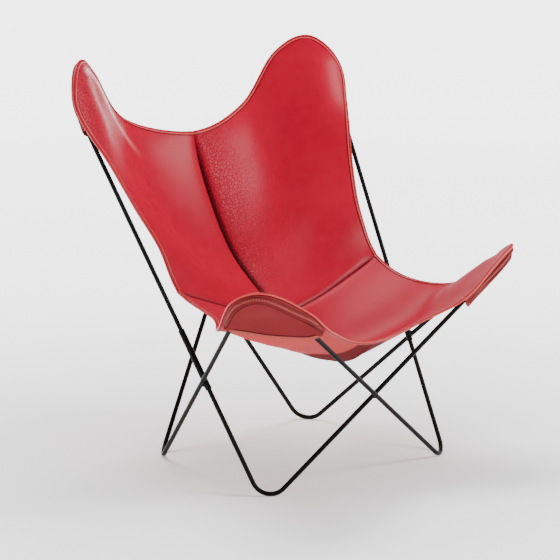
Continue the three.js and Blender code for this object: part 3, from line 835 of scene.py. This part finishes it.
def wing_form(wing, points, side):
    """The stiff leather arches over the hoop from leg to leg and rolls back past them to its hem.

    Also gives a mask along the bar, where the leather is drawn hard over it, for a polish of lower
    roughness and a painted highlight.
    """
    across, down, _ = wing.place(points)
    off = wing.off_bar(across, down)
    width = np.maximum(wing.tip.radius, down * math.sin(wing.tip.half))
    below_bend = smooth_step(*TIP_ROLL_REACH, down - wing.tip.top)
    tip_roll = BACK_TIP_ROLL[side] if wing.leans else 0.0
    roll = tip_roll + (1 - tip_roll) * below_bend
    outer = smooth_step(WING_ARCH_START[side] * width, width, across) * roll
    slope = (BACK_OUTER_SLOPE if wing.leans else FRONT_OUTER_SLOPE)[side]
    inside = WING_INNER_SLOPE[side] + (slope - WING_INNER_SLOPE[side]) * outer
    outside = WING_INNER_FALL[side] + (slope - WING_INNER_FALL[side]) * outer
    between = inside * width / 2 * (1 - np.clip(1 + off / width, 0, 1) ** 2)
    beyond = -outside * off - WING_ROLL * slope * outer * off ** 2
    rounding = (outside - inside) * BAR_ROUNDING / 2 * np.exp(-np.abs(off) / BAR_ROUNDING)
    fade = 1 - smooth_step(*WING_FADE, down - wing.reach)
    crease = smooth_step(*WING_CREASE, outside - inside) if wing.leans else 0.0
    # Mask for a polish of lower roughness and a painted highlight where the leather is drawn over the bar
    rubbed = crease * np.exp(-(off / POLISH_HIGHLIGHT_WIDTH) ** 2) * fade
    shift = (np.where(off < 0, between, beyond) - rounding) * fade
    return points + wing.ahead * shift[..., None], rubbed


def valley(distance, depth, width):
    return depth * np.exp(-np.abs(distance) / width)


def crowded(steps):
    """Places from 0 to 1 that lie closer together near 0."""
    return (np.arange(steps + 1) / steps) ** GRID_CROWDING


def panel_grid(name, side):
    """Middle surface of a panel with its normals, its painted shade along the seams, its polish with
    painted highlight over the bar and its grain.
    """
    wing, surface = panels[name]
    is_seat = name == "seat"
    v_grid, u_grid = np.meshgrid(crowded(STEPS_V), crowded(STEPS_U), indexing="ij")
    points, rubbed = wing_form(wing, surface(u_grid, v_grid), side)
    if is_seat:
        middle = smooth_step(0, SEAT_TAUT_FADE, v_grid) * smooth_step(0, SEAT_TAUT_FADE, 1 - v_grid)
        out = points[..., 0]
        beside = smooth_step(*SEAT_TAUT_FROM, out) * (1 - smooth_step(*SEAT_TAUT_TO, out))
        points[..., 2] += SEAT_TAUTNESS[side] * middle * beside
    normals = panel_normals(name, points)
    from_centre = points[..., 0]
    row = np.linalg.norm(np.diff(points, axis=0), axis=-1)
    from_cross = np.vstack([np.zeros((1, STEPS_U + 1)), np.cumsum(row, axis=0)])
    deep = 1 - VALLEY_LEAST
    centre_depth = (CENTRE_VALLEY * (VALLEY_LEAST + deep * smooth_step(0.0, 0.16, 1 - v_grid))
                    * (0.5 + 0.5 * smooth_step(0.0, 0.3, v_grid)))
    if is_seat:
        centre_depth = centre_depth * SEAT_VALLEY_SHARE
    cross_depth = CROSS_VALLEY * (VALLEY_LEAST + deep * smooth_step(0.0, 0.12, 1 - u_grid))
    sink = np.maximum(valley(from_centre, centre_depth, CENTRE_VALLEY_WIDTH),
                      valley(from_cross, cross_depth, CROSS_VALLEY_WIDTH))
    points = points - normals * sink[..., None]
    points[..., 0] -= points[:, :1, 0] * np.exp(-from_centre / CENTRE_VALLEY_WIDTH)
    # Painted shade in the seam valleys, as dark as the valleys are deep
    seam = np.maximum(np.exp(-(from_centre / CENTRE_SEAM_SHADE) ** 4) * centre_depth / CENTRE_VALLEY,
                      np.exp(-(from_cross / CROSS_SEAM_SHADE) ** 2) * cross_depth / CROSS_VALLEY)
    across, down, _ = wing.place(points)
    off = wing.off_bar(across, down)
    open_grain = SEAT_GRAIN if is_seat else CENTRE_GRAIN[side] * smooth_step(0.05, 0.5, v_grid)
    slack = (open_grain * np.exp(-(from_centre / GRAIN_REACH) ** 2)
             + OUTER_GRAIN[side] * np.exp(-(off / OUTER_GRAIN_REACH) ** 2) * (across > 0))
    grain = WING_GRAIN + (1 - WING_GRAIN) * np.clip(slack, 0, 1)
    return points, normals, {"seam": seam, "rubbed": rubbed, "grain": grain}


def crumple(points, flip):
    """Small unevenness of the hide, different on each side."""
    side = -1 if flip else 1
    lift = np.empty(points.shape[:2])
    for index in np.ndindex(lift.shape):
        p = points[index]
        q = Vector((p[0] * side, p[1], p[2])) * 0.001
        lift[index] = noise.noise(q * 12) * 0.5 + noise.noise(q * 46 + Vector((3, 1, 7))) * 0.12
    return lift


def shell(points, normals, thickness, flip):
    """Points and faces of a sheet with thickness, its upper face first, and its area in square metres."""
    half = thickness / 2
    verts = np.stack([points + normals * half, points - normals * half]).reshape(-1, 3)
    verts[:, 0] = np.maximum(verts[:, 0], SEAM_GAP / 2)
    if flip:
        verts = mirrored(verts)
    rows, columns = points.shape[:2]
    count = rows * columns
    at = np.arange(count).reshape(rows, columns)
    upper = np.stack([at[:-1, :-1], at[:-1, 1:], at[1:, 1:], at[1:, :-1]], axis=-1).reshape(-1, 4)
    border = np.concatenate([at[0, :-1], at[:-1, -1], at[-1, :0:-1], at[:0:-1, 0]])
    following = np.roll(border, -1)
    wall = np.stack([border, border + count, following + count, following], axis=1)
    faces = np.vstack([upper, upper[:, ::-1] + count, wall])
    a, b, c, d = points.reshape(-1, 3)[upper.T]
    halves = np.cross(b - a, c - a), np.cross(c - a, d - a)
    area = sum(float(np.linalg.norm(h, axis=1).sum()) for h in halves) / 2
    return verts, faces, area / 1e6


def panel_piece(name, side):
    flip = side == "left"
    is_seat = name == "seat"
    points, normals, marks = grids[name, side]
    from_edge = 1 - crowded(STEPS_V)[:, None]
    from_side = 1 - crowded(STEPS_U)[None, :]
    calm = smooth_step(0, CALM_EDGE, from_edge) * smooth_step(0, CALM_EDGE, from_side)
    lift = crumple(points, flip) * calm
    body = points + normals * lift[..., None]
    verts, faces, area = shell(body, panel_normals(name, body), LEATHER, flip)
    if is_seat != flip:
        faces = faces[:, ::-1]
    piece = new_mesh(f"sling_{name}_panel_{side}", metres(verts), faces.tolist(), red_leather)
    flesh_shade = marks["seam"]
    # Painted shade on the seat's underside, in a band beside the centre seam
    if is_seat:
        width = SEAM_BAND + SEAM_BAND_FLARE * smooth_step(*SEAM_BAND_FLARE_REACH, from_edge)
        past_band = smooth_step(-SEAM_BAND_BLUR, SEAM_BAND_BLUR, points[..., 0] - width)
        flesh_shade = np.maximum(flesh_shade, UNDERSIDE_SHADE_DARKNESS * (1 - past_band))
    bare = np.zeros(points.shape[:2])
    faces_of_marks = {
        "flesh": (bare, bare + 1),
        "seam": (marks["seam"], flesh_shade),
        "matt": (bare + is_seat, bare),
        "rubbed": (marks["rubbed"], bare),
        "grain": (marks["grain"], bare),
    }
    for mark, (face, back) in faces_of_marks.items():
        set_attribute(piece, mark, np.concatenate([face.ravel(), back.ravel()]))
    settle(piece, f"{name}_panel_{side}")
    return piece, area


grids = {(name, side): panel_grid(name, side) for name in panels for side in SIDES}


# Edge of a panel, with the ways into the leather and out of its face

def smoothed(values, times=6):
    for _ in range(times):
        values = np.vstack([values[:1], (values[:-2] + 2 * values[1:-1] + values[2:]) / 4, values[-1:]])
    return values


def lengths(path):
    """Distances of a path's points from its start, along it."""
    step = np.linalg.norm(np.diff(path, axis=0), axis=1)
    return np.concatenate([[0], np.cumsum(step)])


def between_points(at, along, values):
    return np.stack([np.interp(at, along, values[:, k]) for k in range(3)], axis=1)


def squared(path, up):
    """Ways along a path, normals square to it and ways across it."""
    along = np.gradient(path, axis=0)
    along /= np.linalg.norm(along, axis=1, keepdims=True)
    up = up - along * (up * along).sum(1, keepdims=True)
    up /= np.linalg.norm(up, axis=1, keepdims=True)
    return along, up, np.cross(up, along)


def border_frames(name, side):
    """Points along a panel's outer edge with face normals and ways into the panel."""
    points, normals, _ = grids[name, side]
    rim = np.vstack([points[-1, :-1], points[::-1, -1]])
    inner = np.vstack([points[-6, :-1], points[::-1, -6]])
    up = np.vstack([normals[-1, :-1], normals[::-1, -1]])
    along = lengths(rim)
    at = np.linspace(0, along[-1], int(along[-1] // RIM_STEP) + 1)
    rim, up, inner = (between_points(at, along, values) for values in (rim, up, inner))
    _, up, inside = squared(rim, smoothed(up))
    return rim, up, inside * np.sign(((inner - rim) * inside).sum())


frames = {key: border_frames(*key) for key in grids}

# Outlines of the sewn edges: into the panel, out of its face, painted shade of a crease, painted highlight
# on a rim
HEM_PROFILE = [(9.0, 1.0, 1, 0), (8.6, 2.0, 1, 0), (7.6, 2.1, 1, 0), (7.2, 2.7, 0.4, 0),
               (6.6, 3.1, 0, 0.7), (5.4, 3.4, 0, 1), (4.2, 3.4, 0, 0.9), (3.6, 3.2, 0.3, 0),
               (2.0, 3.3, 0.3, 0), (0.2, 3.0, 0.3, 0), (-1.1, 2.1, 0.2, 0.1), (-1.7, 0.8, 0, 0.6),
               (-1.8, -0.8, 0, 1), (-1.3, -2.0, 0, 0.8), (-0.6, -2.5, 0.5, 0), (0.6, -2.8, 0.45, 0),
               (2.4, -3.0, 0.3, 0), (5.0, -2.8, 0.2, 0), (5.8, -2.6, 0.5, 0), (6.6, -2.7, 0.1, 0),
               (7.6, -2.6, 0.1, 0), (8.4, -2.2, 0.5, 0), (8.6, -1.4, 1, 0)]


def sweep(name, path, up, inside, profile, material, flip, taper=0):
    """A profile carried along a path, into the panel and out of its face, that may thin out at its ends."""
    profile = np.array(profile, float)
    size = len(profile)
    place = np.arange(len(path))
    from_end = np.minimum(place, place[::-1])
    full = 0.3 + 0.7 * smooth_step(0, taper, from_end) if taper else np.ones(len(path))
    rings = (path[:, None, :] + inside[:, None, :] * profile[None, :, :1] * full[:, None, None]
             + up[:, None, :] * profile[None, :, 1:2] * full[:, None, None])
    rings[..., 0] = np.maximum(rings[..., 0], SEAM_GAP / 4)
    verts = rings.reshape(-1, 3)
    if flip:
        verts = mirrored(verts)
    at = np.arange(len(path) * size).reshape(len(path), size)
    nxt = np.roll(at, -1, axis=1)
    faces = np.stack([at[:-1], nxt[:-1], nxt[1:], at[1:]], axis=-1).reshape(-1, 4).tolist()
    faces += [at[0, ::-1].tolist(), at[-1].tolist()]
    piece = new_mesh(name, metres(verts), faces, material)
    mend(piece)
    # Painted shade of creases and painted highlights on ridges, from the profile's last two columns
    set_attribute(piece, "seam", np.tile(profile[:, 2], len(path)))
    set_attribute(piece, "rim", np.tile(profile[:, 3], len(path)))
    return piece


def stitch_shape():
    """One stitch, as points and faces about its middle, along x."""
    clear_selection()
    bpy.ops.mesh.primitive_uv_sphere_add(segments=6, ring_count=5, radius=0.5, rotation=(0, math.pi / 2, 0))
    shape = bpy.context.object
    bpy.ops.object.transform_apply(rotation=True)
    size = np.array((STITCH_LENGTH, STITCH_THICK, STITCH_THICK))
    verts = np.array([tuple(v.co) for v in shape.data.vertices]) * size
    faces = [list(f.vertices) for f in shape.data.polygons]
    mesh = shape.data
    bpy.data.objects.remove(shape)
    bpy.data.meshes.remove(mesh)
    return verts, faces


STITCH = stitch_shape()


def stitch_row(path, up, inside, into, height, flip):
    """Stitches along a path, a way into the panel and up from its face."""
    line = path + inside * into + up * height
    along = lengths(line)
    count = int(along[-1] // STITCH_PITCH)
    at = (np.arange(count) + 0.5) * along[-1] / count
    spots = between_points(at, along, line)
    ways, ups, sides = squared(spots, between_points(at, along, up))
    shape, faces = STITCH
    verts = (spots[:, None] + ways[:, None] * shape[None, :, :1] + sides[:, None] * shape[None, :, 1:2]
             + ups[:, None] * shape[None, :, 2:]).reshape(-1, 3)
    if flip:
        verts = mirrored(verts)
    size = len(shape)
    every = [[i + k * size for i in (f[::-1] if flip else f)] for k in range(count) for f in faces]
    return verts, every


def stitches_piece(name, rows):
    verts, faces = [], []
    for row_verts, row_faces in rows:
        start = sum(len(v) for v in verts)
        verts.append(row_verts)
        faces += [[i + start for i in f] for f in row_faces]
    piece = new_mesh(name, metres(np.vstack(verts)), faces, thread, math.radians(80))
    settle(piece, None)
    return piece


# Pockets behind the wings

def pocket_ends(name, side):
    """First and last places of the edge that a pocket is sewn to."""
    wing, _ = panels[name]
    across, down, _ = wing.place(frames[name, side][0])
    sewn = np.nonzero(down < np.where(across < 0, wing.reach, wing.outer_reach))[0]
    return sewn[0], sewn[-1]


def pocket_grid(name, side):
    """Rings of the pocket from its sewn edge to its mouth, and their distances from the sewn edge."""
    wing, _ = panels[name]
    first, last = pocket_ends(name, side)
    rim, up, inside = (values[first:last + 1] for values in frames[name, side])
    sewn = rim + inside * POCKET_SEAM_IN - up * (LEATHER / 2 + POCKET_SEAM_GAP + POCKET_LEATHER / 2)
    across, down, ahead = wing.place(sewn)
    share = np.linspace(0, 1, len(rim))
    mouth_across = across[0] + (across[-1] - across[0]) * share
    mouth_down = down[0] + (down[-1] - down[0]) * share + POCKET_MOUTH_SAG * 4 * share * (1 - share)
    ring = (np.linspace(0, 1, POCKET_RINGS + 1) ** POCKET_RING_CROWDING)[:, None]
    square = np.stack([-np.gradient(down), np.gradient(across)])
    square /= np.hypot(*square)
    square *= np.sign((square * np.stack([mouth_across - across, mouth_down - down])).sum())
    reach = POCKET_CURVE_REACH * np.hypot(mouth_across - across, mouth_down - down)
    keep, turn, far = (1 - ring) ** 2, 2 * ring * (1 - ring), ring ** 2
    grid_across = across * keep + (across + square[0] * reach) * turn + mouth_across * far
    grid_down = down * keep + (down + square[1] * reach) * turn + mouth_down * far
    behind = -(ROD_RADIUS + wing.shift + POCKET_SLACK + POCKET_LEATHER / 2)
    off = wing.off_bar(grid_across, grid_down)
    gap = np.hypot(grid_across - across, grid_down - down)
    over_bar = np.maximum(np.abs(wing.off_bar(across, down)), POCKET_LEAST_ROOM)
    beside = POCKET_EVENNESS[side]
    nearest = np.array([over_bar[max(0, k - beside):k + beside + 1].min() for k in range(len(over_bar))])
    room = smoothed(nearest[:, None], POCKET_ROOM_SMOOTHING)[:, 0] - BAR_NEARER_RIM[side]
    rise = smooth_step(0.0, POCKET_RISE_SHARE * room, gap)
    slack = POCKET_BELLY * (1 - np.exp(-(off / POCKET_BELLY_WIDTH) ** 2))
    grid_ahead = ahead + (behind + slack - ahead) * rise
    return wing.point(grid_across, grid_down, grid_ahead), gap


pockets = {key: pocket_grid(*key) for key in grids}


def away_normals(wing, points):
    """Normals of a pocket's grid, away from the sitter."""
    normals = grid_normals(points)
    return -normals if (normals @ wing.ahead).sum() > 0 else normals


def band(x, low, high, blur=0.8):
    return smooth_step(low - blur, low + blur, x) * (1 - smooth_step(high - blur, high + blur, x))


def pocket_piece(name, side):
    flip = side == "left"
    points, gap = pockets[name, side]
    verts, faces, area = shell(points, away_normals(panels[name][0], points), POCKET_LEATHER, flip)
    piece = new_mesh(f"sling_{name}_pocket_{side}", metres(verts), faces.tolist(), pocket_leather)
    from_welt = gap - WELT_GAP[side]
    # Painted shade in the grooves beside the welt and a painted highlight along the sewn edge
    groove_shade = np.maximum(band(from_welt, -4.6, -3.4), band(from_welt, 3.4, 5.4))
    set_attribute(piece, "seam", np.tile(groove_shade.ravel(), 2))
    set_attribute(piece, "rim", np.tile(band(gap, -2.0, 1.0).ravel(), 2))
    mend(piece, join=True)
    settle(piece, f"{name}_pocket_{side}")
    return piece, area


# Welt and mouth outlines: into the pocket, out of its face, painted shade of a groove, painted highlight on
# a ridge
WELT_PROFILE = [(-3.6, 0.6, 1, 0), (-3.1, 1.9, 0, 0.15), (-1.9, 2.6, 0, 0.35), (-0.5, 2.2, 0.3, 0.1),
                (0.5, 2.2, 0.3, 0.2), (1.9, 2.6, 0, 0.6), (3.1, 1.9, 0, 0.3), (3.7, 0.6, 1, 0),
                (2.6, -0.6, 1, 0), (-2.6, -0.6, 1, 0)]
MOUTH_PROFILE = [(0.6, -1.6, 1, 0), (-1.2, -1.9, 1, 0), (-2.0, -0.4, 0.6, 0.3), (-2.0, 1.2, 0, 0.8),
                 (-1.0, 2.3, 0, 0.7), (1.5, 2.5, 0, 0.6), (6.5, 2.4, 0, 0.6), (8.0, 2.2, 0.2, 0.4),
                 (9.2, 2.3, 0, 0.5), (10.2, 1.9, 0.9, 0), (12.6, 1.5, 1, 0), (12.8, 0.6, 1, 0),
                 (10.0, -0.6, 1, 0)]


def welt_frames(name, side):
    """Points on the pocket at a set distance from its sewn edge, with normals and ways in from the edge."""
    wing, _ = panels[name]
    points, gap = pockets[name, side]
    normals = away_normals(wing, points)
    welt = WELT_GAP[side]
    columns = np.nonzero(gap[-1] >= welt + 8)[0]

    def at(grid, far):
        return np.array([[np.interp(far, gap[:, column], grid[:, column, k]) for k in range(3)]
                         for column in columns])

    ups = at(normals, welt)
    spots = at(points, welt) + ups * POCKET_LEATHER / 2
    ways = at(points, welt + 3) - at(points, welt - 3)
    _, ups, sides = squared(spots, smoothed(ups))
    return spots, ups, sides * np.sign((sides * ways).sum())


def mouth_frames(name, side):
    """Points along a pocket's mouth with normals and ways back up into the pocket."""
    wing, _ = panels[name]
    points, gap = pockets[name, side]
    wide = gap[-1] > 6
    mouth = points[-1][wide]
    _, normals, inward = squared(mouth, smoothed(away_normals(wing, points)[-1][wide]))
    return mouth, normals, -inward if (inward @ wing.tip.inward).sum() > 0 else inward


def pocket_cut(wing, points):
    """Width and height of a pocket, in metres."""
    across, down, _ = wing.place(points)
    return (float(np.ptp(across)) / 1000, float(np.ptp(down)) / 1000)


def outfit(name, side):
    """Everything that is sewn to one panel."""
    flip = side == "left"
    panel, area = panel_piece(name, side)
    rim = frames[name, side]
    hem = sweep(f"sling_{name}_hem_{side}", *rim, HEM_PROFILE, red_leather, flip)
    settle(hem, f"{name}_binding_{side}")
    pocket, pocket_area = pocket_piece(name, side)
    welt_path = welt_frames(name, side)
    welt = sweep(f"sling_{name}_pocket_welt_{side}", *welt_path, WELT_PROFILE,
                 pocket_leather, flip, WELT_TAPER)
    settle(welt, None)
    mouth = mouth_frames(name, side)
    mouth_hem = sweep(f"sling_{name}_pocket_mouth_{side}", *mouth, MOUTH_PROFILE,
                      pocket_leather, flip, MOUTH_TAPER)
    settle(mouth_hem, None)
    sewn = ((rim, HEM_STITCHES), (welt_path, WELT_STITCHES), (mouth, MOUTH_STITCHES))
    rows = [stitch_row(*(values[free:-free] for values in path), into, height, flip)
            for path, (free, into, height) in sewn]
    stitches = stitches_piece(f"sling_{name}_stitches_{side}", rows)
    name == "back"
    pocket_cut(panels[name][0], pockets[name, side][0])


for side in SIDES:
    for name in panels:
        outfit(name, side)


# Floor and light

def add_floor():
    clear_selection()
    bpy.ops.mesh.primitive_plane_add(size=160, location=(0, 0, -0.0005))
    floor = bpy.context.object
    bpy.ops.object.mode_set(mode="EDIT")
    bpy.ops.mesh.subdivide(number_cuts=4)
    bpy.ops.object.mode_set(mode="OBJECT")
    floor.name = "studio_floor"
    floor.data.materials.append(floor_finish())


def add_world():
    world = bpy.data.worlds.new("studio")
    world.use_nodes = True
    world.node_tree.nodes["Background"].inputs["Color"].default_value = (1, 1, 1, 1)
    world.node_tree.nodes["Background"].inputs["Strength"].default_value = 0.2
    bpy.context.scene.world = world


add_floor()
add_world()
add_light("key_softbox", (1.9, -2.2, 2.45), (0, 0, 0.6), (1.0, 1.0), 98)
add_light("overhead_softbox", (0.2, 1.4, 3.45), (0.15, 0.05, 0.4), (2.2, 1.2), 155)
add_light("right_strip", (2.85, 1.55, 0.9), (-0.2, 0.2, 0.7), (0.3, 0.8), 4)
add_light("back_strip", (1.7, 3.3, 1.6), (0.2, -0.2, 0.4), (1.6, 0.7), 16)
add_light("low_fill", (-3.4, -1.8, 0.8), (0, -0.1, 0.35), (1.4, 1.0), 12)
